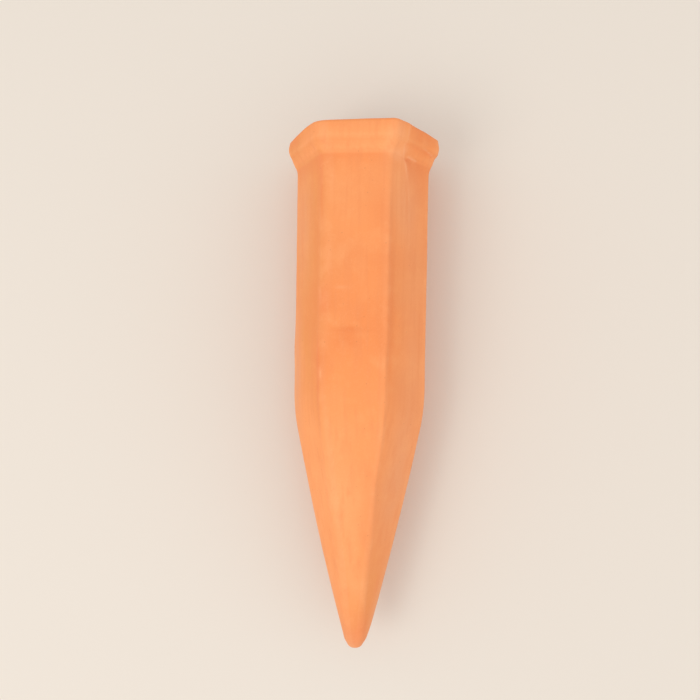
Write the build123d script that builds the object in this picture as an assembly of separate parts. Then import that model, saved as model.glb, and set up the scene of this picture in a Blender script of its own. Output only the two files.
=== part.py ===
from build123d import *
import os
from math import acos, atan2, cos, degrees, hypot, radians

# A six-sided terracotta watering spike: one hollow shell of fired clay. An upturned bottle stands in its mouth
# and the water seeps out through its walls. It lies on a facet as it was laid down: +Y runs from the point to
# the mouth and +Z is up.

# Lengths along the spike, in millimetres
spike_length = 155.0
shoulder_height = 72.3
band_height = 5.6
flare_height = 3.5

# Widths of the outside: across opposite flats, and how far each flat steps or leans out along its run
neck_across_flats = 36.1
tip_across_flats = 4.8
body_lean = 0.4
collar_reach = 2.2
band_lean = 0.45

# Softness of the outside
point_bulge = 0.85
ridge_radius = 2.3
tip_radius = 2.2
shoulder_radius = 75.0
neck_radius = 2.5
band_radius = 3.2
rim_radius = 0.9

# Wall and the hollow inside it
wall = 4.4
solid_tip_height = 20.0
cavity_ridge_radius = 2.6
cavity_end_radius = 2.4

# Round seat pared into the mouth for the lip of a bottle, and the least width of the ledge at its floor
seat_depth = 7.0
ledge_width = 0.34
lip_radius = 1.2
ledge_radius = 0.5

# One overrun serves every cut
overrun = 10.0

# Six flats in three opposite pairs, with a ridge half way between two neighbouring flats
flat_pairs = 3
flat_turn = 180.0 / flat_pairs
ridge_turn_share = 0.5
angle_slack = 0.5

# Where an edge is asked for its place and slope, and how steep it is when it climbs the spike
middle_share = 0.5
climb_share = 0.3

# No rounding takes more than this share of what it is cut from
round_limit_share = 0.96

node_name = "spike_shell"

# Corners of the outline, each as a half width and a height above the tip
neck_corner = (neck_across_flats / 2, spike_length - band_height - flare_height)
band_corner = (neck_corner[0] + collar_reach, spike_length - band_height)
mouth_corner = (band_corner[0] + band_lean, spike_length)
shoulder_corner = (neck_corner[0] - body_lean, shoulder_height)
tip_corner = (tip_across_flats / 2, 0.0)

# The seat clears the ridges of the hollow under it by the ledge
ridge_reach = 1 / cos(radians(flat_turn * ridge_turn_share))
hollow_half_width = neck_corner[0] - wall
hollow_ridge = hollow_half_width * ridge_reach - cavity_ridge_radius * (ridge_reach - 1)
seat_radius = hollow_ridge + ledge_width
seat_floor = spike_length - seat_depth


def nearest_vertex(face, across, up):
    """The corner of a flat outline that lies closest to a place."""
    return min(face.vertices(), key=lambda corner: hypot(corner.X - across, corner.Y - up))


def soft_corner(face, corner, radius):
    """Rounds one corner of a symmetric outline, on its right and on its left."""
    across, up = corner
    for side in (1, -1):
        face = face.fillet_2d(radius, [nearest_vertex(face, side * across, up)])
    return face


def flank_outline(*upper_corners):
    """The spike seen square to a pair of flats: a bulged point, the shoulder, then straight runs to the top."""
    top = upper_corners[-1][1]
    with BuildSketch() as sketch:
        with BuildLine():
            SagittaArc(tip_corner, shoulder_corner, -point_bulge)
            Polyline(shoulder_corner, *upper_corners, (0.0, top))
            Line((0.0, 0.0), tip_corner)
            mirror(about=Plane.YZ)
        make_face()
    return soft_corner(sketch.sketch.face(), shoulder_corner, shoulder_radius)


def outer_outline():
    """The whole outside, with its neck and the foot of its band rounded."""
    face = flank_outline(neck_corner, band_corner, mouth_corner)
    face = soft_corner(face, neck_corner, neck_radius)
    return soft_corner(face, band_corner, band_radius)


def cavity_outline():
    """The outside of the point and body drawn in by the wall, from the solid tip to the floor of the seat."""
    top = seat_floor + wall
    lean = body_lean / (neck_corner[1] - shoulder_height)
    shank = flank_outline((shoulder_corner[0] + lean * (top - shoulder_height), top))
    hollow = offset(shank, amount=-wall, kind=Kind.INTERSECTION).face()
    solid_tip = Pos(0, solid_tip_height / 2) * Rectangle(neck_across_flats, solid_tip_height)
    return (hollow - solid_tip).face()


def six_sided(outline):
    """What is common to three plates of one outline, turned a sixth of a turn from each other."""
    plate = extrude(Plane.XZ * outline, amount=spike_length, both=True)
    form = plate
    for pair in range(1, flat_pairs):
        form = form & (Rot(0, 0, pair * flat_turn) * plate)
    return form.solid()


def is_ridge(edge):
    """True for an edge that climbs the form half way between two neighbouring flats."""
    middle = edge @ middle_share
    turn = degrees(atan2(middle.Y, middle.X)) % flat_turn
    climbs = abs((edge % middle_share).Z) > climb_share
    return climbs and abs(turn - flat_turn * ridge_turn_share) < angle_slack


def edges_at(form, height):
    """The edges that lie flat at one height."""
    near = ledge_radius / 2
    flat = []
    for edge in form.edges():
        box = edge.bounding_box()
        if abs(box.min.Z - height) < near and abs(box.max.Z - height) < near:
            flat.append(edge)
    return flat


def soft_six_sided(outline, ridge, end):
    """A six-sided form with rounded ridges and a round lower end, neither wider than that end allows."""
    form = six_sided(outline)
    low = form.bounding_box().min.Z
    half_end = max(corner.X for corner in outline.vertices() if abs(corner.Y - low) < ledge_radius)
    ridge = min(ridge, half_end * round_limit_share)
    form = form.fillet(ridge, [edge for edge in form.edges() if is_ridge(edge)])
    return form.fillet(min(end, ridge * round_limit_share), edges_at(form, low))


def is_seat_wall(edge):
    """True for a circle of the seat's own radius."""
    return edge.geom_type == GeomType.CIRCLE and abs(edge.radius - seat_radius) < lip_radius / 2


def spike_shell():
    """The fired-clay shell, standing on its tip with a pair of flats square to X."""
    body = soft_six_sided(outer_outline(), ridge_radius, tip_radius)
    body = body.fillet(rim_radius, edges_at(body, spike_length))
    cavity = soft_six_sided(cavity_outline(), cavity_ridge_radius, cavity_end_radius)
    seat_height = seat_depth + overrun
    seat = Pos(0, 0, seat_floor + seat_height / 2) * Cylinder(seat_radius, seat_height)
    shell = (body - (cavity + seat)).solid()
    shell = shell.fillet(ledge_radius, [edge for edge in edges_at(shell, seat_floor) if not is_seat_wall(edge)])
    land = mouth_corner[0] - rim_radius - seat_radius
    lip = min(lip_radius, land * round_limit_share)
    return shell.fillet(lip, [edge for edge in edges_at(shell, spike_length) if is_seat_wall(edge)])


def arc_centre(face, radius):
    """The centre, on the right, of an outline's one rounding of a given radius."""
    arcs = [edge for edge in face.edges() if edge.geom_type == GeomType.CIRCLE and (edge @ middle_share).X > 0]
    return min(arcs, key=lambda arc: abs(arc.radius - radius)).arc_center


def rest_tilt():
    """The slope of the line that touches both the shoulder and the foot of the band, where the spike rests."""
    outline = outer_outline()
    low = arc_centre(outline, shoulder_radius)
    high = arc_centre(outline, band_radius)
    apart = hypot(high.X - low.X, high.Y - low.Y)
    return degrees(acos((shoulder_radius - band_radius) / apart) - atan2(high.Y - low.Y, high.X - low.X))


# The standing spike's X turns up and its length turns along +Y; then the mouth rises until the spike rests
lying = Plane(origin=(0, 0, 0), x_dir=(0, 0, 1), z_dir=(0, 1, 0)).location
tilt = rest_tilt()
shell = spike_shell()
turned = Rot(tilt, 0, 0) * lying
box = (turned * shell).bounding_box()
centre = box.center()
placed = Pos(-centre.X, -centre.Y, -box.min.Z) * turned

os.makedirs("parts", exist_ok=True)
export_step(placed * shell, f"parts/{node_name}.step")

print("tilt", round(tilt, 4), "box", box.size, "volume", round(shell.volume, 1), "valid", shell.is_valid)
print("seat radius", round(seat_radius, 3), "straight wall", round(seat_depth - lip_radius, 3))
marks = {
    "tip": Pos(0, 0, 0),
    "seat wall middle": Pos(0, 0, (seat_floor + spike_length - lip_radius) / 2),
    "mouth": Pos(0, 0, spike_length),
    "rim land, upper flat": Pos((seat_radius + lip_radius + mouth_corner[0] - rim_radius) / 2, 0, spike_length),
}
for name, mark in marks.items():
    print(name, [round(value, 3) for value in (placed * mark).position])
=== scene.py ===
import logging
import math
from dataclasses import dataclass, replace
from enum import Enum

import bpy
import numpy as np
from bpy.types import Material, Mesh, Node, NodeSocket, NodeTree, Object
from mathutils import Euler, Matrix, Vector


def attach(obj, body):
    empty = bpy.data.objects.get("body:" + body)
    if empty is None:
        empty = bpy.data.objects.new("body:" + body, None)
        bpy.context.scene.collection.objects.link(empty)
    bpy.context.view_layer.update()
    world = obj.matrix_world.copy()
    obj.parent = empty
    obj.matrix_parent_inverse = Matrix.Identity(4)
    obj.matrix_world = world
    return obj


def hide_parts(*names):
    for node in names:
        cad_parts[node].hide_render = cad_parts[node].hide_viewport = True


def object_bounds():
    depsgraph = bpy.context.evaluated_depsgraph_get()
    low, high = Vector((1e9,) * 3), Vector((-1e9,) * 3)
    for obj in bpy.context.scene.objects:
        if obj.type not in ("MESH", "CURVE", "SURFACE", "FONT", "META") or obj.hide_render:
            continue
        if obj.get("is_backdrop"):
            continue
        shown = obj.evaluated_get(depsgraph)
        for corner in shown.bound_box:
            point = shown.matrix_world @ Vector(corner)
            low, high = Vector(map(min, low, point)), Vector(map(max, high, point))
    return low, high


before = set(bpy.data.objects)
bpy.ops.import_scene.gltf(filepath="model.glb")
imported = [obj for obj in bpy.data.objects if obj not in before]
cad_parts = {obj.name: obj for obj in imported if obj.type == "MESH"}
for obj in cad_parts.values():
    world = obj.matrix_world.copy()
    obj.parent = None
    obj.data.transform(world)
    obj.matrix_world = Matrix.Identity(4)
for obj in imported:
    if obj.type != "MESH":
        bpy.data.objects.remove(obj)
CAD_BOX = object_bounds()

# A six-sided terracotta watering spike lying on a pale floor. Its fired-clay shell is one closed surface that
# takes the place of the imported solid. Sizes are in millimetres, unless a name or comment says otherwise.

LOG = logging.getLogger("watering_spike")
MM = 0.001
BODY = "root"

# Added to a length before a division by it, in case the length is zero
TINY = 1e-12

# The sRGB curve is straight up to a knee, and a power above it
SRGB_KNEE = 0.04045
SRGB_SLOPE = 12.92
SRGB_OFFSET = 0.055
SRGB_POWER = 2.4

# The sockets of a Mix node that mixes colours
MIX_SHARE = 0
MIX_UNDER = 6
MIX_OVER = 7
MIX_RESULT = 2


def linear_colour(code: str) -> tuple[float, float, float, float]:
    """Turns an sRGB hex colour into the linear colour that a shader takes.

    Args:
        code: six hex digits, with or without a leading #.

    Returns:
        Red, green, blue and an alpha of 1.
    """
    parts = np.array([int(code.lstrip("#")[i:i + 2], 16) for i in (0, 2, 4)]) / 255
    curved = ((parts + SRGB_OFFSET) / (1 + SRGB_OFFSET)) ** SRGB_POWER
    return (*np.where(parts <= SRGB_KNEE, parts / SRGB_SLOPE, curved).tolist(), 1.0)


def per_metre(size_mm: float) -> float:
    """The scale of a pattern whose features are this many millimetres apart."""
    return 1.0 / (size_mm * MM)


def add_node(
    tree: NodeTree, kind: str, sockets: dict[str | int, object] | None = None, **settings: object
) -> Node:
    """Adds one node with its settings and links.

    Args:
        tree: the node tree that it goes into.
        kind: the node's type.
        sockets: for each input, by name or number, its value or the output that feeds it.
        settings: the node's own properties.

    Returns:
        The new node.
    """
    node = tree.nodes.new(kind)
    for name, value in settings.items():
        setattr(node, name, value)
    for key, value in (sockets or {}).items():
        if isinstance(value, NodeSocket):
            tree.links.new(value, node.inputs[key])
        else:
            node.inputs[key].default_value = value
    return node


class Seed(Enum):
    """The seed of each kind of unevenness, so that every run draws the same."""

    WAVES = 11
    RIPPLES = 12
    HOLLOW = 13
    CLOUDS = 21
    RAGGED = 71
    SEAM = 72


def ripples(
    points: np.ndarray, wavelength: float, seed: Seed, waves: int = 18,
    spread: tuple[float, float] = (0.75, 1.35),
) -> np.ndarray:
    """Smooth, seeded unevenness over the surface.

    Formula: the mean of plane waves in random directions, each the cosine of the point's way along the wave's
    direction plus a random phase, scaled to an even spread about zero.

    Args:
        points: places on the surface, with the coordinates last.
        wavelength: the distance from crest to crest, in the units of the points.
        seed: the seed of the directions and phases.
        waves: how many waves are summed.
        spread: the least and the greatest share of the wavelength that a wave takes.

    Returns:
        One value for each point, mostly between -1 and 1.
    """
    draw = np.random.default_rng(seed.value)
    directions = draw.normal(size=(waves, points.shape[-1]))
    directions /= np.linalg.norm(directions, axis=1, keepdims=True)
    phases = draw.uniform(0, 2 * np.pi, waves)
    lengths = wavelength * draw.uniform(*spread, waves)
    turns = points @ (directions * (2 * np.pi / lengths[:, None])).T + phases
    return np.cos(turns).mean(axis=-1) * math.sqrt(2 * waves) / 2


def eased(heights: np.ndarray, stations: tuple[float, ...], values: tuple[float, ...]) -> np.ndarray:
    """Carries values smoothly from station to station.

    Formula: the share t of the way between two stations becomes 3tt - 2ttt, and the value moves by it.

    Args:
        heights: where the values are wanted.
        stations: the heights where they are given, rising.
        values: one value at each station.

    Returns:
        One value for each height.
    """
    marks, held = np.array(stations), np.array(values)
    upper = np.clip(np.searchsorted(marks, heights), 1, len(marks) - 1)
    share = np.clip((heights - marks[upper - 1]) / (marks[upper] - marks[upper - 1]), 0, 1)
    share = share * share * (3 - 2 * share)
    return held[upper - 1] + (held[upper] - held[upper - 1]) * share


class Zone(Enum):
    """The stretch of the shell's wall that a row of the surface lies on."""

    OUTSIDE = 0
    RIM = 1
    SEAT = 2
    LEDGE = 3
    HOLLOW = 4


class Side(Enum):
    """The six flats and six ridges, by the turn of their outward face from the right, in degrees."""

    RIGHT_RIDGE = 0.0
    RIGHT = 30.0
    UPPER_RIGHT_RIDGE = 60.0
    UPPER = 90.0
    UPPER_LEFT_RIDGE = 120.0
    LEFT = 150.0
    LEFT_RIDGE = 180.0
    LOWER_LEFT = 210.0
    LOWER_LEFT_RIDGE = 240.0
    UNDER = 270.0
    LOWER_RIGHT_RIDGE = 300.0
    LOWER_RIGHT = 330.0

    def ways(self, section: np.ndarray) -> tuple[np.ndarray, np.ndarray]:
        """How the places of a section lie to this side.

        Formula: a place's part along the side, and its part along the side's outward face less the largest
        one in the same row.

        Args:
            section: right and up, for each row and column.

        Returns:
            The way across from the side's middle, and the way down from its outermost place.
        """
        turn = math.radians(self.value)
        face = np.array([math.cos(turn), math.sin(turn)])
        outward = section @ face
        return section @ np.array([-face[1], face[0]]), outward - outward.max(axis=1, keepdims=True)


# Ridges and flats take turns, so that each ridge comes just before the flat of the same number
RIDGES = tuple(Side)[0::2]
FLATS = tuple(Side)[1::2]


@dataclass(frozen=True)
class Corner:
    """One corner of the spike's outline: its rounding, and the spacing of the rows on the run up to it.

    A row's half width is that of a six-sided section, or its radius where the section is round.
    """

    half_width: float
    height: float
    rounding: float = 0.0
    spacing: float = 0.2
    zone: Zone = Zone.OUTSIDE
    roundness: float = 0.0


@dataclass(frozen=True)
class Rows:
    """The rows of the surface from the tip's pole, over the mouth, down to the pole of the hollow."""

    half_width: np.ndarray
    height: np.ndarray
    roundness: np.ndarray
    zone: np.ndarray

    @property
    def outer(self) -> np.ndarray:
        """True for the rows of the outside and of the rim's land."""
        return self.zone <= Zone.RIM.value


@dataclass(frozen=True)
class Skin:
    """The surface as a grid: right and up in its section, height above the tip, and its laid-down places."""

    rows: Rows
    section: np.ndarray
    heights: np.ndarray
    places: np.ndarray


@dataclass(frozen=True)
class Outline:
    """The spike's outline as straight runs with rounded corners."""

    corners: tuple[Corner, ...]
    bend_step: float = 0.2
    rows_per_radian: float = 90.0

    def rows(self) -> Rows:
        """Divides the runs and the roundings into rows.

        Formula: a corner of turn t and rounding r is cut back by r tan(t / 2) on both runs. The arc between
        the cuts goes round a centre at r square to the first run. A run is divided evenly.

        Returns:
            The rows, without the two poles.
        """
        places = np.array([(c.half_width, c.height) for c in self.corners])
        pieces: list[np.ndarray] = []
        left_off = places[0]
        for index in range(1, len(self.corners)):
            corner, before = self.corners[index], self.corners[index - 1]
            inward = places[index] - places[index - 1]
            inward /= np.linalg.norm(inward)
            if index == len(self.corners) - 1:
                pieces.append(self._run(left_off, places[index], before, corner))
                break
            outward = places[index + 1] - places[index]
            outward /= np.linalg.norm(outward)
            turn = math.atan2(inward[0] * outward[1] - inward[1] * outward[0], inward @ outward)
            cut = corner.rounding * math.tan(abs(turn) / 2)
            start = places[index] - inward * cut
            pieces.append(self._run(left_off, start, before, corner))
            pieces.append(self._bend(start, inward, turn, corner, self.corners[index + 1].zone))
            left_off = places[index] + outward * cut
        grid = np.concatenate(pieces)[1:]
        return Rows(grid[:, 0], grid[:, 1], grid[:, 2], grid[:, 3].astype(int))

    @staticmethod
    def _run(start: np.ndarray, end: np.ndarray, before: Corner, corner: Corner) -> np.ndarray:
        """Divides one straight run, leaving out its last row.

        Args:
            start: where the run starts.
            end: where it ends.
            before: the corner that it comes from.
            corner: the corner that it leads to.

        Returns:
            Half width, height, roundness and zone of each row.
        """
        count = max(2, math.ceil(np.linalg.norm(end - start) / corner.spacing))
        share = np.arange(count)[:, None] / count
        places = start + (end - start) * share
        roundness = before.roundness + (corner.roundness - before.roundness) * share
        return np.hstack([places, roundness, np.full_like(share, corner.zone.value)])

    def _bend(
        self, start: np.ndarray, inward: np.ndarray, turn: float, corner: Corner, zone: Zone
    ) -> np.ndarray:
        """Divides one rounding, leaving out its last row.

        Args:
            start: where the rounding starts.
            inward: the direction of the run before it.
            turn: how far it turns, in radians, counterclockwise.
            corner: the corner that it rounds.
            zone: the zone of its rows.

        Returns:
            Half width, height, roundness and zone of each row.
        """
        side = math.copysign(1.0, turn)
        step = max(self.bend_step, corner.rounding / self.rows_per_radian)
        count = max(2, math.ceil(abs(turn) * corner.rounding / step))
        angles = np.arange(count)[:, None] / count * abs(turn)
        square = np.array([-inward[1], inward[0]]) * side
        centre = start + square * corner.rounding
        places = centre + corner.rounding * (inward * np.sin(angles) - square * np.cos(angles))
        fixed = np.full_like(angles, corner.roundness)
        return np.hstack([places, fixed, np.full_like(angles, zone.value)])


@dataclass(frozen=True)
class Spot:
    """A soft-edged spot on one side: its place, half length, half width, strength and half depth.

    A ragged spot comes and goes over that many millimetres, and polish is how far it is rubbed pale.
    """

    side: Side
    height: float
    across: float
    length: float
    width: float
    strength: float
    ragged: float = 0.0
    polish: float = 0.0
    depth: float = 3.5
    ragged_middle: float = 0.55

    def bell(self, skin: Skin) -> np.ndarray:
        """The spot's strength over the surface.

        Formula: the strength times three bells: over the way along the spike, over the way across the side
        and over the way down from the side's outermost place.

        Args:
            skin: the surface.

        Returns:
            One value for each row and column.
        """
        across, down = self.side.ways(skin.section)
        aside = across - self.across
        bell = np.exp(-((aside / self.width) ** 2) - (down / self.depth) ** 2)
        bell = bell * self.fall(skin.heights - self.height)
        if self.ragged:
            uneven = ripples(aside[..., None], self.ragged, Seed.RAGGED)
            bell *= np.clip(self.ragged_middle + uneven, 0, None)
        return self.strength * bell

    def fall(self, along: np.ndarray) -> np.ndarray:
        """A bell over the way along the spike from the spot's own height."""
        return np.exp(-((along / self.length) ** 2))


@dataclass(frozen=True)
class Press(Spot):
    """A finger's press: a steep wall on the side of the tip, then a long gentle rise towards the mouth."""

    steepness: float = 4.0

    def fall(self, along: np.ndarray) -> np.ndarray:
        """A steep smooth step, times half a bell towards the mouth."""
        step = 1 / (1 + np.exp(-self.steepness * along))
        return step * np.exp(-((np.maximum(along, 0) / self.length) ** 2))


@dataclass(frozen=True)
class Seam:
    """The fettled line of the mould's joint: a fine bead that wanders down one side and fades out."""

    side: Side = Side.RIGHT
    stations: tuple[float, ...] = (100, 116, 128, 138, 143.5, 145.6, 148.4, 150.6, 155)
    across: tuple[float, ...] = (0, 0.2, 0.4, 1.2, 2.9, 4.2, 6.2, 5.5, 5.4)
    share: tuple[float, ...] = (0, 0.2, 0.35, 0.6, 0.9, 1, 0.85, 0.78, 0.7)
    width: float = 0.42
    depth: float = 2.5
    lift: float = 0.11
    broken: float = 6.0
    broken_middle: float = 0.7
    broken_swing: float = 0.6
    shade_step: float = 0.9
    shade_reach: float = 5.5
    shade: float = 0.48
    polish: float = 0.5

    def way_across(self, skin: Skin) -> tuple[np.ndarray, np.ndarray]:
        """How far each place lies from the seam, and how much of the seam is there.

        Args:
            skin: the surface.

        Returns:
            The way across from the seam's own line, and the seam's share, which is none on other sides.
        """
        across, down = self.side.ways(skin.section)
        share = eased(skin.heights, self.stations, self.share) * np.exp(-((down / self.depth) ** 2))
        return across - eased(skin.heights, self.stations, self.across), share

    def bead(self, skin: Skin) -> np.ndarray:
        """The bead: the seam's share, which comes and goes, times a narrow bell over the way across.

        Args:
            skin: the surface.

        Returns:
            One share for each row and column.
        """
        aside, share = self.way_across(skin)
        uneven = ripples(skin.heights[..., None], self.broken, Seed.SEAM)
        kept = np.clip(self.broken_middle + self.broken_swing * uneven, 0, 1)
        return share * kept * np.exp(-((aside / self.width) ** 2))

    def tone(self, skin: Skin) -> np.ndarray:
        """Paler above the seam and deeper below it: a steep step times a wide bell over the way across.

        Args:
            skin: the surface.

        Returns:
            One tone for each row and column.
        """
        aside, share = self.way_across(skin)
        reach = np.exp(-((aside / self.shade_reach) ** 2))
        return self.shade * share * np.tanh(aside / self.shade_step) * reach


@dataclass(frozen=True)
class Lean:
    """A flat that was cut askew: it turns about one of its ridges, by so many degrees at each station."""

    flat: Side
    about: Side
    stations: tuple[float, ...]
    degrees: tuple[float, ...]


@dataclass(frozen=True)
class HandMarks:
    """What casting, trimming and handling leave on the clay: waves, sunken flats, spots, a seam and burrs."""

    wave_height: float = 0.07
    wave_spacing: float = 46.0
    ripple_height: float = 0.03
    ripple_spacing: float = 13.0
    inward_share: float = 0.8
    sink: float = 0.12
    tip_ease: tuple[float, float] = (0.5, 5.0)
    hollow_wave_height: float = 0.16
    hollow_wave_spacing: float = 22.0
    hollow_ease: tuple[float, ...] = (20, 30, 140, 147)
    ridge_rub: float = 0.12
    ridge_rub_share: float = 0.05
    seams: tuple[Seam, ...] = (Seam(), Seam(side=Side.LOWER_LEFT))
    spots: tuple[Spot, ...] = (
        # a finger's press on the upper flat, and the fine step above it
        Press(Side.UPPER, 95, 2.6, 8, 5.2, -0.27),
        Spot(Side.UPPER, 106.8, 3.6, 0.5, 2, 0.06, polish=0.3),
        # rubbed places and small steps along the two upper ridges
        Spot(Side.UPPER_LEFT_RIDGE, 104.6, 0.5, 2.6, 0.5, -0.1, polish=0.22),
        Spot(Side.UPPER_LEFT_RIDGE, 82.2, -0.3, 2, 0.5, -0.1, polish=0.35),
        Spot(Side.UPPER_RIGHT_RIDGE, 86, -0.8, 4.5, 1.6, -0.3),
        Spot(Side.UPPER_RIGHT_RIDGE, 69, -0.6, 2, 1.4, -0.2),
        Spot(Side.UPPER_RIGHT_RIDGE, 57, -0.4, 2.2, 1.4, -0.18),
        # crumbs that the fettling knife left at the band's foot, and the groove beneath them
        Spot(Side.RIGHT, 149.5, -4.2, 0.34, 0.9, 0.2, polish=0.4),
        Spot(Side.RIGHT, 149.15, -6.2, 0.34, 1, 0.3, polish=0.6),
        Spot(Side.RIGHT, 148.85, -7.9, 0.34, 0.8, 0.3, polish=0.6),
        Spot(Side.RIGHT, 148.35, -6.4, 0.34, 2.4, -0.14),
        # rubbed places beside the upper right ridge, on the flare and on the band
        Spot(Side.UPPER_RIGHT_RIDGE, 145.8, -1, 1.7, 1.9, 0.04, polish=0.55),
        Spot(Side.RIGHT, 146.2, 6, 2.2, 2, 0.03, polish=0.35),
        Spot(Side.UPPER_RIGHT_RIDGE, 152, -1.9, 3.2, 1.8, 0.02, polish=0.36),
        # crumbs at the flare's foot, and the groove beneath them
        Spot(Side.RIGHT, 146.15, 1.8, 0.34, 0.9, 0.3, polish=0.6),
        Spot(Side.RIGHT, 146, 0.2, 0.34, 0.7, 0.36, polish=0.6),
        Spot(Side.RIGHT, 145.95, -1.6, 0.34, 0.9, 0.28, polish=0.5),
        Spot(Side.RIGHT, 145.15, 1.2, 0.45, 1.8, -0.3),
        # the seam is rubbed pale on the flare and below it
        Spot(Side.RIGHT, 147.6, 4.6, 0.9, 1, 0.03, polish=0.3),
        Spot(Side.RIGHT, 143.6, 3.2, 1.3, 0.8, 0.05, polish=0.35),
        Spot(Side.RIGHT, 141, 2.3, 1.6, 0.8, 0.04, polish=0.3),
        # ragged burrs on the unseen sides
        Spot(Side.LOWER_RIGHT, 146.4, 4, 0.4, 2.6, 0.16, ragged=1.5, polish=0.6),
        Spot(Side.LOWER_LEFT, 149.5, -3, 0.4, 3.2, 0.16, ragged=1.6, polish=0.6),
        # the rim stands a little proud in front, and its corners are worn round
        Spot(Side.UPPER, 155.7, -3, 0.9, 7, 0.26),
        Spot(Side.RIGHT, 155.7, 2, 0.9, 8, 0.3),
        Spot(Side.RIGHT, 155.4, 6, 1.6, 3, 0.24),
        Spot(Side.LEFT, 155.2, -3, 1.6, 5.5, 0.3),
        Spot(Side.RIGHT_RIDGE, 155.6, 0, 2.4, 5, -0.5),
        Spot(Side.LEFT_RIDGE, 155.4, 0, 2.9, 5, -0.55),
        Spot(Side.UPPER_LEFT_RIDGE, 155.4, 0, 1.4, 4, -0.3),
        Spot(Side.LOWER_LEFT_RIDGE, 155.4, 0, 2.4, 4, -0.4),
        Spot(Side.LOWER_RIGHT_RIDGE, 155.4, 0, 2.2, 4, -0.5),
        # the collar is full at the band's foot, hollow below it and full again at the neck
        Spot(Side.RIGHT_RIDGE, 151.6, 0, 1.7, 3, 0.32),
        Spot(Side.RIGHT_RIDGE, 148.6, 0, 0.9, 3.5, -0.2),
        Spot(Side.RIGHT_RIDGE, 146.1, 0, 1.5, 3.5, 0.5),
        Spot(Side.LEFT_RIDGE, 152.2, 0, 1.6, 3.5, 0.26),
        Spot(Side.LEFT_RIDGE, 149.2, 0, 1.1, 3.5, -0.34),
        Spot(Side.LEFT_RIDGE, 146.2, 0, 1.2, 3.5, 0.3),
        # the left edge is full at the shoulder
        Spot(Side.LEFT_RIDGE, 90, 0, 5, 5, 0.2),
        Spot(Side.LEFT_RIDGE, 66, 0, 12, 5, 0.24),
        # where it rests, the waves run out
        Spot(Side.UNDER, 150, 0, 2, 9, 0.09),
        Spot(Side.UNDER, 73.5, 0, 12, 9, 0.09),
        # the blunt end, a little fuller on the right
        Spot(Side.RIGHT_RIDGE, 10, 0, 9, 6, 0.32),
        # dents on the sides
        Spot(Side.LOWER_LEFT, 112, 2, 6, 4, -0.2),
        Spot(Side.UNDER, 60, -2, 5, 3, -0.15),
        Spot(Side.LOWER_RIGHT, 38, 1, 7, 2.5, -0.15),
        Spot(Side.LEFT, 128, -3, 7, 2.6, -0.12),
    )


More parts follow.
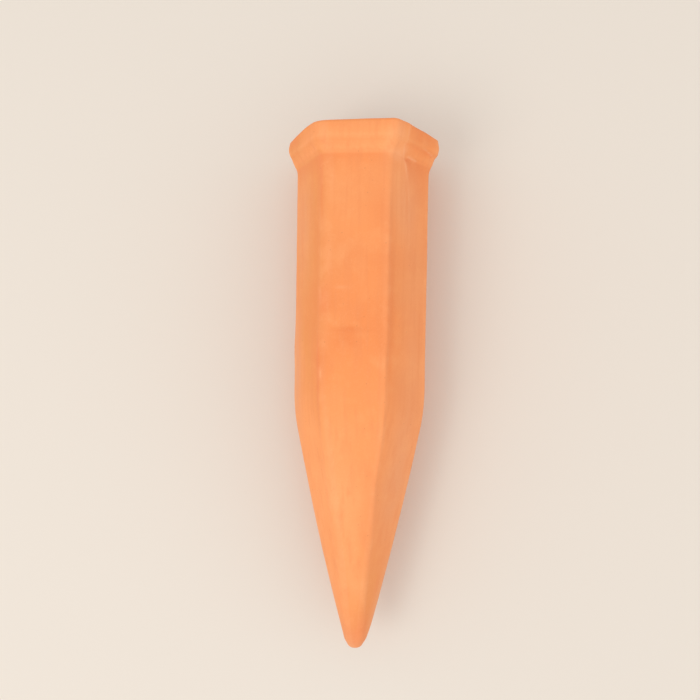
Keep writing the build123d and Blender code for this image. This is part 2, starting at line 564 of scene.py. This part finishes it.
@dataclass(frozen=True)
class ClayTones:
    """Where the clay fired paler, above zero, or deeper, below it, and where it is ochre or dusty.

    Some tones are painted light and shade: along the collar, under the crumbs at the flare's foot and round
    the finger's press. Inside is how much of the hollow's own colour shows in each zone.
    """

    # Along the collar the stations paint light and shade: painted shade just under the flare's foot (145.3),
    # painted highlights on the lit flare (147.2) and on the band's bevel (150.4), and painted shade in the
    # groove at the band's foot (149.15).
    stations: tuple[float, ...] = (
        0, 4, 8, 14, 25, 62, 74, 82, 92, 112, 125, 140, 145.3, 146.2, 147.2, 148.4,
        149.15, 149.5, 150.4, 151.6, 153.5, 155,
    )
    tones: tuple[float, ...] = (
        -0.9, -0.6, -0.2, 0.2, 0.25, 0.2, 0.1, -0.05, -0.3, -0.25, 0, 0.05, -0.25, 0.5, 0.9, 0.6,
        0.3, 0.5, 0.9, 0.45, 0.2, -0.5,
    )
    cloud_share: float = 0.22
    cloud_spacing: float = 17.0
    inside: tuple[float, ...] = (0, 0, 0.6, 0.8, 1)
    spots: tuple[Spot, ...] = (
        # the point: pale on the left, deep on the right and at the tip
        Spot(Side.UPPER, 40, 3.5, 34, 6, 0.75),
        Spot(Side.LEFT, 48, 0, 30, 9, 0.6),
        Spot(Side.RIGHT, 22, 0, 15, 7, -0.5),
        Spot(Side.UPPER_RIGHT_RIDGE, 3, -0.2, 7, 1.7, -0.8),
        # the collar: deep on both sides and at the rim, pale on the flare's upper right ridge
        Spot(Side.RIGHT, 151.5, -3, 5, 8, -0.95),
        Spot(Side.LEFT, 152.5, 6, 4, 6, -0.9),
        Spot(Side.UPPER, 155.8, 8, 0.7, 6, -0.6),
        Spot(Side.UPPER_RIGHT_RIDGE, 147.4, 0.8, 2.6, 2.8, 0.9),
        # the body's left half: deep along the upper ridge and the far edge, pale between them
        Spot(Side.LEFT, 114, -6.8, 40, 3, -0.15),
        Spot(Side.UPPER_LEFT_RIDGE, 140, 0.9, 6, 0.8, -0.9),
        Spot(Side.UPPER_LEFT_RIDGE, 130, 0.3, 6, 0.9, -0.45),
        Spot(Side.UPPER_LEFT_RIDGE, 81, 0.85, 9, 0.7, -1.1),
        Spot(Side.UPPER, 103, 9, 4.5, 2.2, -0.8),
        Spot(Side.LEFT, 139, -9.6, 9, 3.4, -0.45),
        Spot(Side.LEFT, 80, -9.6, 13, 3.4, -0.45),
        Spot(Side.LEFT, 104, 4, 24, 6, 0.3),
        # the point's two upper ridges, deep
        Spot(Side.UPPER_LEFT_RIDGE, 28, 0, 20, 2.6, -0.9),
        Spot(Side.UPPER_RIGHT_RIDGE, 36, 1.2, 18, 2.4, -0.5),
        # the body's middle and right half: deep along the upper ridge, a pale panel above the seam
        Spot(Side.RIGHT_RIDGE, 94, 0, 7, 2.6, 0.5),
        Spot(Side.UPPER, 112, -8.6, 40, 2.6, -0.3),
        Spot(Side.UPPER, 77, 0, 8, 5.5, -0.45),
        Spot(Side.RIGHT, 104, -4, 24, 6, 0.35),
        Spot(Side.RIGHT, 104, 8.6, 22, 1.6, -0.5),
        Spot(Side.RIGHT, 138, 6.4, 12, 3.8, 0.75),
        Spot(Side.RIGHT, 140, -4.5, 8, 4, -0.4),
        # painted shadow under the crumbs at the flare's foot
        Spot(Side.RIGHT, 145.2, 1.4, 0.5, 1.9, -0.6),
        # round the finger's press: a painted highlight on its gentle rise towards the mouth, and painted shade
        # at its steep wall and below it
        Spot(Side.UPPER, 97.6, 4.4, 2.6, 4, 0.25),
        Spot(Side.UPPER, 94.7, 0.8, 0.9, 5, -0.45),
        Spot(Side.UPPER, 91.2, 2.4, 3.6, 3.8, -0.6),
    )
    ochre: tuple[Spot, ...] = (
        Spot(Side.LEFT, 112, -1, 40, 10, 1.5),
        Spot(Side.LEFT, 150, 8, 6, 6, 0.8),
        Spot(Side.UPPER_LEFT_RIDGE, 112, 0.3, 40, 1.5, 0.8),
        Spot(Side.UPPER, 156, 5, 1.6, 8, 0.9),
        Spot(Side.RIGHT, 16, 0, 20, 9, 0.8),
        Spot(Side.UPPER, 0, 0, 7, 6, 0.8),
        Spot(Side.LOWER_LEFT, 90, 0, 30, 9, 0.8),
        Spot(Side.UNDER, 70, 2, 50, 7, 0.5),
    )
    dust: tuple[Spot, ...] = (
        Spot(Side.LEFT, 84, 8.5, 17, 4, 1.3),
        Spot(Side.LEFT, 127, 5, 19, 6.5, 0.68),
        Spot(Side.LEFT_RIDGE, 22, 0, 30, 2.6, 0.8),
        Spot(Side.RIGHT, 132, 2, 13, 7, 0.5),
        Spot(Side.RIGHT, 92, -4, 30, 7, 0.4),
        Spot(Side.RIGHT, 50, -1, 24, 7, 0.6),
        Spot(Side.RIGHT_RIDGE, 12, 0, 18, 2.2, 0.9),
        Spot(Side.UPPER, 0, 1.4, 7, 3, 0.45),
        Spot(Side.LOWER_RIGHT, 100, 0, 40, 7, 0.45),
        Spot(Side.UNDER, 120, -3, 20, 6, 0.45),
    )


@dataclass(frozen=True)
class Grain:
    """Cloudy unevenness of one real size, round or drawn out along the spike."""

    name: str
    size_mm: float
    detail: float
    along: float = 1.0


@dataclass(frozen=True)
class Dots:
    """Small dots, this many millimetres apart."""

    name: str
    spacing_mm: float


@dataclass(frozen=True)
class Span:
    """A source that goes from least to most as another one goes from low to high."""

    name: str
    source: str
    low: float
    high: float
    least: float = 0.0
    most: float = 1.0


@dataclass(frozen=True)
class Wash:
    """One colour that is laid over the clay by a share, which grows as its source goes from low to high."""

    source: str
    low: float
    high: float
    colour: str
    share: float = 1.0


@dataclass(frozen=True)
class Relief:
    """One source that raises the clay's skin, too finely for the mesh."""

    source: str
    strength: float
    depth_mm: float


@dataclass(frozen=True)
class FiredTerracotta:
    """Earthenware, slip-cast in plaster, sponged and fired without a glaze.

    To the eye that is a matt, slightly chalky orange, with soft clouds where the plaster drew water unevenly,
    faint strokes of the sponge along the spike, fine sand, a few iron specks and paler rubbed ridges. The
    washes are laid over each other in their order.
    """

    clay: str = "#F89551"
    grains: tuple[Grain, ...] = (
        Grain("clouds", 24.0, 3.0),
        Grain("blotches", 5.0, 4.0),
        Grain("strokes", 1.7, 3.0, along=0.07),
        Grain("sand", 0.42, 2.0),
    )
    grain_roughness: float = 0.55
    dots: tuple[Dots, ...] = (Dots("specks", 3.2), Dots("pores", 1.9))
    attributes: tuple[str, ...] = ("tone", "ochre", "dust", "rubbed", "inside")
    spans: tuple[Span, ...] = (
        Span("patches", "blotches", 0.2, 0.6),
        Span("pits", "pores", 0.12, 0.04, most=0.6),
        Span("roughness", "blotches", 0.3, 0.7, 0.6, 0.74),
    )
    # rubbed in patches, and sand with pores in it
    joined: tuple[tuple[str, str, str, str], ...] = (
        ("worn", "rubbed", "patches", "MULTIPLY"),
        ("pitted", "sand", "pits", "SUBTRACT"),
    )
    washes: tuple[Wash, ...] = (
        Wash("clouds", 0.35, 0.7, "#F19556"),
        Wash("ochre", 0.0, 1.0, "#EC934D"),
        # the tone also carries painted light and shade: along the collar, under the flare's crumbs and round
        # the finger's press
        Wash("tone", 0.0, 1.0, "#FAA161"),
        Wash("tone", 0.0, -1.0, "#EC8444"),
        Wash("dust", 0.0, 1.0, "#EB9D6C"),
        Wash("blotches", 0.5, 0.8, "#FAAD72", 0.3),
        Wash("strokes", 0.48, 0.75, "#EC8C50", 0.55),
        Wash("worn", 0.0, 1.0, "#FFB684"),
        Wash("inside", 0.0, 1.0, "#DE8A52"),
        Wash("sand", 0.55, 0.85, "#E2834A", 0.22),
        Wash("sand", 0.45, 0.15, "#FFC08C", 0.18),
        Wash("specks", 0.075, 0.04, "#B8683C", 0.3),
    )
    reliefs: tuple[Relief, ...] = (
        Relief("pitted", 0.5, 0.03),
        Relief("strokes", 0.6, 0.05),
        Relief("blotches", 0.6, 0.14),
    )
    ior: float = 1.5

    def sources(self, tree: NodeTree) -> dict[str, NodeSocket]:
        """Adds all that the washes and the reliefs draw on.

        Args:
            tree: the material's node tree.

        Returns:
            One output for each grain, kind of dots, attribute, span and joined pair.
        """
        place = add_node(tree, "ShaderNodeTexCoord").outputs["Object"]
        found: dict[str, NodeSocket] = {}
        for grain in self.grains:
            drawn_out = add_node(
                tree, "ShaderNodeMapping", {"Vector": place, "Scale": (1.0, grain.along, 1.0)}
            ).outputs[0]
            found[grain.name] = add_node(tree, "ShaderNodeTexNoise", {
                "Vector": drawn_out, "Scale": per_metre(grain.size_mm), "Detail": grain.detail,
                "Roughness": self.grain_roughness,
            }).outputs[0]
        for dots in self.dots:
            found[dots.name] = add_node(
                tree, "ShaderNodeTexVoronoi", {"Vector": place, "Scale": per_metre(dots.spacing_mm)}
            ).outputs["Distance"]
        for name in self.attributes:
            found[name] = add_node(tree, "ShaderNodeAttribute", attribute_name=name).outputs["Fac"]
        for span in self.spans:
            found[span.name] = add_node(tree, "ShaderNodeMapRange", {
                "Value": found[span.source], "From Min": span.low, "From Max": span.high,
                "To Min": span.least, "To Max": span.most,
            }).outputs[0]
        for name, one, other, operation in self.joined:
            pair = {0: found[one], 1: found[other]}
            found[name] = add_node(tree, "ShaderNodeMath", pair, operation=operation).outputs[0]
        return found

    def material(self) -> Material:
        """Builds the clay's node tree.

        Returns:
            The material.
        """
        material = bpy.data.materials.new("slip_cast_terracotta_unglazed")
        material.use_nodes = True
        tree = material.node_tree
        tree.nodes.clear()
        sources = self.sources(tree)
        colour: NodeSocket | tuple[float, ...] = linear_colour(self.clay)
        for wash in self.washes:
            share = add_node(tree, "ShaderNodeMapRange", {
                "Value": sources[wash.source], "From Min": wash.low, "From Max": wash.high,
                "To Max": wash.share,
            }).outputs[0]
            layers = {MIX_SHARE: share, MIX_UNDER: colour, MIX_OVER: linear_colour(wash.colour)}
            colour = add_node(tree, "ShaderNodeMix", layers, data_type="RGBA").outputs[MIX_RESULT]
        normal: dict[str | int, object] = {}
        for relief in self.reliefs:
            bump = add_node(tree, "ShaderNodeBump", {
                "Strength": relief.strength, "Distance": relief.depth_mm * MM,
                "Height": sources[relief.source],
            } | normal)
            normal = {"Normal": bump.outputs[0]}
        fired = {"Base Color": colour, "Roughness": sources["roughness"], "IOR": self.ior} | normal
        clay = add_node(tree, "ShaderNodeBsdfPrincipled", fired).outputs[0]
        add_node(tree, "ShaderNodeOutputMaterial", {"Surface": clay})
        return material


@dataclass
class SpikeShell:
    """The one piece of the spike: collar, body, point and the hollow inside, with its sizes in millimetres.

    Half widths are across the flats. Gains are added to a ridge's radius at the ridge stations. Steps are the
    columns on each flat and on a ridge.
    """

    name: str = "terracotta_shell"
    length: float = 155.0
    tip_half: float = 1.7
    tip_radius: float = 1.75
    tip_shoulder_half: float = 3.12
    tip_shoulder_height: float = 2.5
    tip_shoulder_radius: float = 4.0
    belly_half: float = 11.56
    belly_height: float = 35.83
    belly_radius: float = 712.0
    shoulder_half: float = 17.65
    shoulder_height: float = 72.3
    shoulder_radius: float = 75.0
    neck_half: float = 18.05
    neck_height: float = 145.9
    neck_radius: float = 2.5
    band_half: float = 20.25
    band_height: float = 149.4
    band_radius: float = 3.2
    mouth_half: float = 20.7
    rim_radius: float = 0.9
    lip_radius: float = 1.2
    seat_radius: float = 15.699
    seat_floor: float = 148.0
    seat_foot_radius: float = 0.03
    ledge_radius: float = 0.3
    hollow_top_half: float = 13.661
    hollow_shoulder_half: float = 13.25
    hollow_shoulder_height: float = 73.1
    hollow_shoulder_radius: float = 70.0
    hollow_end_half: float = 2.86
    hollow_end_radius: float = 2.2
    solid_tip_height: float = 20.0
    ridge_radius: float = 2.3
    hollow_ridge_radius: float = 2.6
    least_ridge_radius: float = 0.05
    ridge_limit_share: float = 0.96
    flat_steps: tuple[int, ...] = (46, 38, 28, 28, 26, 28)
    ridge_steps: int = 9
    ridge_stations: tuple[float, ...] = (3, 30, 50, 66, 80, 94, 130, 144, 150, 155)
    ridge_gains: tuple[tuple[Side, tuple[float, ...]], ...] = (
        (Side.UPPER_RIGHT_RIDGE, (0, -0.2, -1, -1, -1, -1, -1, 0.4, 0.9, 0.6)),
        (Side.UPPER_LEFT_RIDGE, (0, 1.2, 1.4, 0.8, -0.4, 1.4, 1.4, 2, 3, 2.6)),
        (Side.LOWER_LEFT_RIDGE, (0, 0.3, 0.3, 0.3, 0.3, 0.4, 0.4, 0.6, 0.8, 0.8)),
    )
    leans: tuple[Lean, ...] = (
        Lean(Side.RIGHT, Side.RIGHT_RIDGE, (0, 12, 40, 50, 61, 77, 90, 130, 146, 155),
             (0, 4.5, 4, 4.6, 2.8, 2.6, 1.7, 1.8, 1.2, 0)),
        Lean(Side.LEFT, Side.LEFT_RIDGE, (0, 15, 45, 60, 78, 88, 98, 113, 131, 139, 147),
             (0, 3.2, 3.2, 2.4, 1.6, 0.9, 1.4, 1.8, 1.8, 2.4, 0)),
        Lean(Side.UNDER, Side.LOWER_LEFT_RIDGE, (0, 20, 60, 76), (0, 1.2, 1, 0)),
    )
    tilt_degrees: float = 2.0705
    tip_place: tuple[float, float, float] = (0.0, -77.793, 15.044)
    marks: HandMarks = HandMarks()
    tones: ClayTones = ClayTones()
    finish: FiredTerracotta = FiredTerracotta()

    def outline(self) -> Outline:
        """The outline from the tip over the mouth to the end of the hollow."""
        return Outline((
            Corner(0.0, 0.0),
            Corner(self.tip_half, 0.0, self.tip_radius, spacing=0.1),
            Corner(self.tip_shoulder_half, self.tip_shoulder_height, self.tip_shoulder_radius),
            Corner(self.belly_half, self.belly_height, self.belly_radius, spacing=0.8),
            Corner(self.shoulder_half, self.shoulder_height, self.shoulder_radius, spacing=0.8),
            Corner(self.neck_half, self.neck_height, self.neck_radius, spacing=0.7),
            Corner(self.band_half, self.band_height, self.band_radius, spacing=0.25),
            Corner(self.mouth_half, self.length, self.rim_radius, spacing=0.33),
            Corner(self.seat_radius, self.length, self.lip_radius, 0.4, Zone.RIM, roundness=1.0),
            Corner(self.seat_radius, self.seat_floor, self.seat_foot_radius, 0.55, Zone.SEAT, roundness=1.0),
            Corner(self.hollow_top_half, self.seat_floor, self.ledge_radius, 0.3, Zone.LEDGE),
            Corner(self.hollow_shoulder_half, self.hollow_shoulder_height, self.hollow_shoulder_radius, 1.9,
                   Zone.HOLLOW),
            Corner(self.hollow_end_half, self.solid_tip_height, self.hollow_end_radius, 1.6, Zone.HOLLOW),
            Corner(0.0, self.solid_tip_height, spacing=0.3, zone=Zone.HOLLOW),
        ))

    def ridge_radii(self, rows: Rows) -> np.ndarray:
        """The rounding of the six ridges in each row.

        Formula: the moulded radius plus the ridge's gain, but never more than nearly the half width. Over the
        rim it shrinks by as much as the half width does, so that the ridges keep their centres.

        Args:
            rows: the rows of the surface.

        Returns:
            One radius for each row and ridge.
        """
        radii = np.full((len(rows.height), len(RIDGES)), self.ridge_radius)
        for ridge, gains in self.ridge_gains:
            radii[:, RIDGES.index(ridge)] += eased(rows.height, self.ridge_stations, gains)
        rim = rows.zone == Zone.RIM.value
        drawn_in = np.where(rim, self.mouth_half - rows.half_width, 0.0)[:, None]
        radii = np.where(rows.outer[:, None], radii - drawn_in, self.hollow_ridge_radius)
        return np.clip(radii, self.least_ridge_radius, self.ridge_limit_share * rows.half_width[:, None])

    def leaning_flats(self, rows: Rows) -> tuple[np.ndarray, np.ndarray]:
        """The turn of each flat's face, and how its half width changes where it leans.

        Formula: a flat that turns about one of its ridges still passes through that ridge's sharp corner, so
        its half width becomes cos(turn - ridge's turn) / cos(half a sixth of a circle) of the even one.

        Args:
            rows: the rows of the surface.

        Returns:
            The turn in radians and the share of the half width, for each row and flat.
        """
        turns = np.radians([side.value for side in FLATS]) * np.ones((len(rows.height), 1))
        shares = np.ones_like(turns)
        for lean in self.leans:
            flat = FLATS.index(lean.flat)
            about = math.radians(lean.about.value)
            away = math.copysign(1.0, math.sin(turns[0, flat] - about))
            degrees = eased(rows.height, lean.stations, lean.degrees) * rows.outer
            turns[:, flat] += away * np.radians(degrees)
            shares[:, flat] = np.cos(turns[:, flat] - about) / math.cos(math.pi / len(FLATS))
        return turns, shares

    def sections(self, rows: Rows) -> np.ndarray:
        """The surface as right and up places in the section, for each row and column.

        Formula: flat i is the line n_i . p = h. A ridge's centre is where the lines of the two flats beside
        it, drawn in by its radius r, cross. The ridge is that centre plus r times the normal that turns from
        one flat's to the next, and a flat runs straight from ridge to ridge. A round row is its radius times
        a fixed direction for each column, and rows between are a mix of both by their roundness.

        Args:
            rows: the rows of the surface.

        Returns:
            An array of rows, columns and the two places.
        """
        turns, shares = self.leaning_flats(rows)
        normals = np.stack([np.cos(turns), np.sin(turns)], axis=-1)
        radii = self.ridge_radii(rows)
        before = np.roll(normals, 1, axis=1)
        reach = rows.half_width[:, None] * shares - radii
        reach_before = rows.half_width[:, None] * np.roll(shares, 1, axis=1) - radii
        cross = before[..., 0] * normals[..., 1] - before[..., 1] * normals[..., 0]
        centres = np.stack([
            reach_before * normals[..., 1] - reach * before[..., 1],
            reach * before[..., 0] - reach_before * normals[..., 0],
        ], axis=-1) / cross[..., None]
        start_turn = np.roll(turns, 1, axis=1)
        swing = (turns - start_turn) % (2 * np.pi)
        columns = []
        for ridge, steps in enumerate(self.flat_steps):
            share = np.arange(self.ridge_steps) / self.ridge_steps
            angle = start_turn[:, ridge, None] + swing[:, ridge, None] * share
            arc = np.stack([np.cos(angle), np.sin(angle)], axis=-1) * radii[:, ridge, None, None]
            columns.append(centres[:, ridge, None, :] + arc)
            following = (ridge + 1) % len(RIDGES)
            start = centres[:, ridge] + radii[:, ridge, None] * normals[:, ridge]
            end = centres[:, following] + radii[:, following, None] * normals[:, ridge]
            share = (np.arange(steps) / steps)[None, :, None]
            columns.append(start[:, None] + (end - start)[:, None] * share)
        six_sided = np.concatenate(columns, axis=1)
        mouth = int(np.argmax(rows.height * (rows.zone == Zone.OUTSIDE.value)))
        spokes = six_sided[mouth] / np.linalg.norm(six_sided[mouth], axis=-1, keepdims=True)
        round_rows = rows.half_width[:, None, None] * spokes[None]
        share = rows.roundness[:, None, None]
        return six_sided * (1 - share) + round_rows * share

    def shares_of_flats(self) -> np.ndarray:
        """For each column, the share of the way across its flat, and zero on a ridge, as one row."""
        ridge = np.zeros(self.ridge_steps)
        return np.concatenate([part for n in self.flat_steps for part in (ridge, np.arange(n) / n)])[None, :]

    def placed(self, section: np.ndarray, heights: np.ndarray) -> np.ndarray:
        """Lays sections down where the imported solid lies.

        Formula: right stays right, height above the tip runs along +Y and the section's up is +Z, both turned
        by the tilt about the right-hand axis, and all is moved to the place of the tip.

        Args:
            section: right and up in the section.
            heights: height above the tip.

        Returns:
            Places in millimetres, with the three coordinates last.
        """
        tilt = math.radians(self.tilt_degrees)
        right, up = section[..., 0], section[..., 1]
        along = heights * math.cos(tilt) - up * math.sin(tilt)
        lift = heights * math.sin(tilt) + up * math.cos(tilt)
        return np.stack([right, along, lift], axis=-1) + np.array(self.tip_place)

    def relief(self, skin: Skin) -> np.ndarray:
        """How far the marks of the hand move the surface outwards, for each row and column.

        Formula: a wave and a finer ripple, minus the sink of each flat, which is 4 t (1 - t) at the share t
        of the way across it, plus every spot and seam. All this eases out at the tip and over the rim's land.
        Waves are drawn mostly inwards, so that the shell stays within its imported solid. The hollow has a wave
        of its own, which eases out at both ends.

        Args:
            skin: the surface before it is marked.

        Returns:
            The way outwards in millimetres.
        """
        marks, rows = self.marks, skin.rows
        wave = ripples(skin.places, marks.wave_spacing, Seed.WAVES) - marks.inward_share
        ripple = ripples(skin.places, marks.ripple_spacing, Seed.RIPPLES) - marks.inward_share
        width = np.clip(rows.half_width / self.shoulder_half, 0, 1)[:, None]
        in_flat = self.shares_of_flats()
        way = marks.wave_height * wave + marks.ripple_height * ripple
        way = way - marks.sink * 4 * in_flat * (1 - in_flat) * width ** 2
        for spot in marks.spots:
            way = way + spot.bell(skin)
        for seam in marks.seams:
            way = way + seam.lift * seam.bead(skin)
        outside = rows.outer * (1 - rows.roundness) * eased(rows.height, marks.tip_ease, (0.0, 1.0))
        settled = marks.hollow_wave_height * ripples(skin.places, marks.hollow_wave_spacing, Seed.HOLLOW)
        hollow = eased(rows.height, marks.hollow_ease, (0.0, 1.0, 1.0, 0.0))
        hollow = hollow * (rows.zone == Zone.HOLLOW.value)
        return way * outside[:, None] + settled * hollow[:, None]

    def surface(self) -> Skin:
        """The finished surface.

        Formula: the laid-down sections plus the relief times the surface's normal, which is the cross product
        of the ways to the next row and to the next column.

        Returns:
            The surface, with its marks in its places. Its section and heights are those before the marks.
        """
        rows = self.outline().rows()
        section = self.sections(rows)
        heights = np.broadcast_to(rows.height[:, None], section.shape[:2])
        skin = Skin(rows, section, heights, self.placed(section, heights))
        to_row = np.gradient(skin.places, axis=0)
        to_column = np.roll(skin.places, -1, axis=1) - np.roll(skin.places, 1, axis=1)
        normals = np.cross(to_row, to_column)
        normals /= np.linalg.norm(normals, axis=-1, keepdims=True) + TINY
        return replace(skin, places=skin.places + normals * self.relief(skin)[..., None])

    def mesh(self) -> Mesh:
        """Fills a mesh with the grid, closed by a pole at the tip and a pole at the end of the hollow.

        Returns:
            The mesh, with its smooth faces pointing out of the clay and its finish's attributes.
        """
        skin = self.surface()
        count_rows, count_columns = skin.heights.shape
        poles = np.stack([skin.places[0].mean(axis=0), skin.places[-1].mean(axis=0)])
        vertices = np.concatenate([skin.places.reshape(-1, 3), poles]) * MM
        tip = count_rows * count_columns
        index = np.arange(tip).reshape(count_rows, count_columns)
        beside = np.roll(index, -1, axis=1)
        quads = np.stack([index[:-1], index[1:], beside[1:], beside[:-1]], axis=-1).reshape(-1, 4)
        tip_fan = np.stack([np.full(count_columns, tip), index[0], beside[0]], axis=-1)
        end_fan = np.stack([index[-1], np.full(count_columns, tip + 1), beside[-1]], axis=-1)
        loops = np.concatenate([quads.ravel(), tip_fan.ravel(), end_fan.ravel()])
        sizes = np.concatenate([np.full(len(quads), 4), np.full(len(tip_fan) + len(end_fan), 3)])
        mesh = bpy.data.meshes.new(self.name)
        mesh.vertices.add(len(vertices))
        mesh.vertices.foreach_set("co", vertices.ravel())
        mesh.loops.add(len(loops))
        mesh.loops.foreach_set("vertex_index", loops.astype(np.int32))
        mesh.polygons.add(len(sizes))
        mesh.polygons.foreach_set("loop_start", (np.cumsum(sizes) - sizes).astype(np.int32))
        mesh.polygons.foreach_set("use_smooth", np.ones(len(sizes), dtype=bool))
        mesh.update(calc_edges=True)
        mesh.validate()
        for name, values in self.attributes(skin).items():
            layer = mesh.attributes.new(name, "FLOAT", "POINT")
            ends = np.array([values[0].mean(), values[-1].mean()])
            layer.data.foreach_set("value", np.concatenate([values.ravel(), ends]).astype(np.float32))
        return mesh

    def attributes(self, skin: Skin) -> dict[str, np.ndarray]:
        """What the finish needs to know of each place on the surface.

        Formula: rubbed is highest on a ridge and falls off as a bell, plus what spots and seams are rubbed.
        Tone goes from station to station, with clouds, spots and the seams' shade over it. Ochre and dust are
        sums of spots, and inside goes by the zone.

        Args:
            skin: the finished surface.

        Returns:
            For each attribute, one value for each row and column.
        """
        marks, tones = self.marks, self.tones
        shape = skin.heights.shape
        outer = skin.rows.outer[:, None]
        in_flat = self.shares_of_flats()
        from_ridge = np.minimum(in_flat, 1 - in_flat) / marks.ridge_rub_share
        rubbed = np.exp(-(from_ridge ** 2)) * marks.ridge_rub * np.ones(shape)
        for spot in marks.spots:
            rubbed = rubbed + spot.polish * spot.bell(skin) / spot.strength
        for seam in marks.seams:
            rubbed = rubbed + seam.polish * seam.bead(skin)
        tone = eased(skin.heights, tones.stations, tones.tones)
        tone = tone + tones.cloud_share * ripples(skin.places, tones.cloud_spacing, Seed.CLOUDS)
        for spot in tones.spots:
            tone = tone + spot.bell(skin)
        for seam in marks.seams:
            tone = tone + seam.tone(skin)
        ochre, dust = (
            np.clip(sum(spot.bell(skin) for spot in spots), 0, 1) * outer
            for spots in (tones.ochre, tones.dust)
        )
        return {
            "rubbed": np.clip(rubbed, 0, 1) * outer,
            "tone": np.clip(tone, -1, 1),
            "ochre": ochre,
            "dust": dust,
            "inside": np.array(tones.inside)[skin.rows.zone][:, None] * np.ones(shape),
        }

    def build(self) -> Object:
        """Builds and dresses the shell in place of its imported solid.

        Returns:
            The finished object.
        """
        mesh = self.mesh()
        mesh.materials.append(self.finish.material())
        shell = bpy.data.objects.new(self.name, mesh)
        bpy.context.scene.collection.objects.link(shell)
        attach(shell, BODY)
        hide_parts("spike_shell")
        return shell


@dataclass(frozen=True)
class PaintedBoard:
    """Board under matt paint. To the eye that is an even pale tone with next to no gloss."""

    paint: str = "#E2D8CC"
    roughness: float = 0.95
    specular: float = 0.2

    def material(self) -> Material:
        """Builds the board's finish.

        Returns:
            The material.
        """
        material = bpy.data.materials.new("matt_painted_board")
        material.use_nodes = True
        board = material.node_tree.nodes["Principled BSDF"]
        board.inputs["Base Color"].default_value = linear_colour(self.paint)
        board.inputs["Roughness"].default_value = self.roughness
        board.inputs["Specular IOR Level"].default_value = self.specular
        return material


@dataclass(frozen=True)
class Lamp:
    """One square lamp that faces the spike: where it hangs and its side, in metres, and its power."""

    name: str
    place: tuple[float, float, float]
    side_m: float
    watts: float

    def build(self) -> None:
        """Hangs the lamp, turned to the spike's compass direction and dropped to face it."""
        light = bpy.data.lights.new(self.name, "AREA")
        light.shape = "SQUARE"
        light.size = self.side_m
        light.energy = self.watts
        lamp = bpy.data.objects.new(self.name, light)
        bpy.context.scene.collection.objects.link(lamp)
        lamp.location = self.place
        turn = math.atan2(-self.place[1], -self.place[0])
        drop = math.acos(self.place[2] / math.dist(self.place, (0.0, 0.0, 0.0)))
        lamp.rotation_euler = Euler((0.0, -drop, turn), "XYZ")


@dataclass(frozen=True)
class Studio:
    """A pale floor under soft light: an even sky, a broad lamp on the left and a weak one on the right."""

    board: PaintedBoard = PaintedBoard()
    floor_reach_m: float = 4.0
    floor_sides: int = 96
    seen_sky: str = "#DAD1C5"
    sky_strength: float = 0.92
    lamps: tuple[Lamp, ...] = (
        Lamp("broad_lamp", (-0.42, -0.26, 0.66), 0.4, 1.45),
        Lamp("fill_lamp", (0.56, -0.12, 0.42), 0.5, 0.38),
    )

    def floor(self) -> Object:
        """Lays the floor, a disc with its middle under the spike.

        Formula: the rim is the reach times the cosine and sine of evenly spaced turns.

        Returns:
            The floor.
        """
        turns = np.linspace(0, 2 * np.pi, self.floor_sides, endpoint=False)
        rim = np.stack([np.cos(turns), np.sin(turns), np.zeros_like(turns)], axis=-1) * self.floor_reach_m
        mesh = bpy.data.meshes.new("studio_floor")
        mesh.from_pydata(rim.tolist(), [], [list(range(len(rim)))])
        mesh.materials.append(self.board.material())
        floor = bpy.data.objects.new("studio_floor", mesh)
        bpy.context.scene.collection.objects.link(floor)
        floor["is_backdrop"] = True
        return floor

    def sky(self) -> None:
        """Lights the scene evenly, and shows the backdrop's colour to the camera and in reflections."""
        world = bpy.data.worlds.new("soft_room")
        world.use_nodes = True
        tree = world.node_tree
        tree.nodes.clear()
        path = add_node(tree, "ShaderNodeLightPath").outputs
        rays = path["Is Camera Ray"]
        for kind in ("Is Glossy Ray", "Is Transmission Ray"):
            rays = add_node(tree, "ShaderNodeMath", {0: rays, 1: path[kind]}, operation="MAXIMUM").outputs[0]
        white = {"Color": (1, 1, 1, 1), "Strength": self.sky_strength}
        light = add_node(tree, "ShaderNodeBackground", white).outputs[0]
        seen = add_node(tree, "ShaderNodeBackground", {"Color": linear_colour(self.seen_sky)}).outputs[0]
        both = add_node(tree, "ShaderNodeMixShader", {0: rays, 1: light, 2: seen}).outputs[0]
        add_node(tree, "ShaderNodeOutputWorld", {"Surface": both})
        bpy.context.scene.world = world

    def build(self) -> Object:
        """Sets up floor, sky and lamps.

        Returns:
            The floor.
        """
        floor = self.floor()
        self.sky()
        for lamp in self.lamps:
            lamp.build()
        return floor


@dataclass(frozen=True)
class PhotographCamera:
    """The camera above the spike, at the photograph's viewing angle. Its turn is in radians."""

    place_m: tuple[float, float, float] = (0.024251, -0.008451, 0.261783)
    turn: tuple[float, float, float] = (0.08471, 0.10976, 0.0213)
    focal_pixels: float = 800.0
    image_pixels: float = 700.0
    sensor_mm: float = 36.0
    clip_start_m: float = 0.01

    def build(self) -> Object:
        """Makes the scene's camera.

        Returns:
            The camera.
        """
        lens = bpy.data.cameras.new("photograph_camera")
        lens.sensor_width = self.sensor_mm
        lens.lens = self.focal_pixels / self.image_pixels * self.sensor_mm
        lens.clip_start = self.clip_start_m
        camera = bpy.data.objects.new("photograph_camera", lens)
        camera.location = self.place_m
        camera.rotation_euler = Euler(self.turn, "XYZ")
        bpy.context.scene.collection.objects.link(camera)
        bpy.context.scene.camera = camera
        return camera


def main() -> None:
    """Builds the scene in order."""
    logging.basicConfig(level=logging.INFO, format="%(name)s: %(message)s")
    bpy.context.scene.view_settings.view_transform = "Standard"
    camera = PhotographCamera().build()
    LOG.info("%s: lens of %.2f mm", camera.name, camera.data.lens)
    for piece in (Studio().build(), SpikeShell().build()):
        LOG.info("%s: %d vertices, %d faces", piece.name, len(piece.data.vertices), len(piece.data.polygons))
    for name, box in (("cad", CAD_BOX), ("new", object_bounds())):
        LOG.info("%s box in millimetres %s", name, [[round(v / MM, 3) for v in corner] for corner in box])


if __name__ == "__main__":
    main()
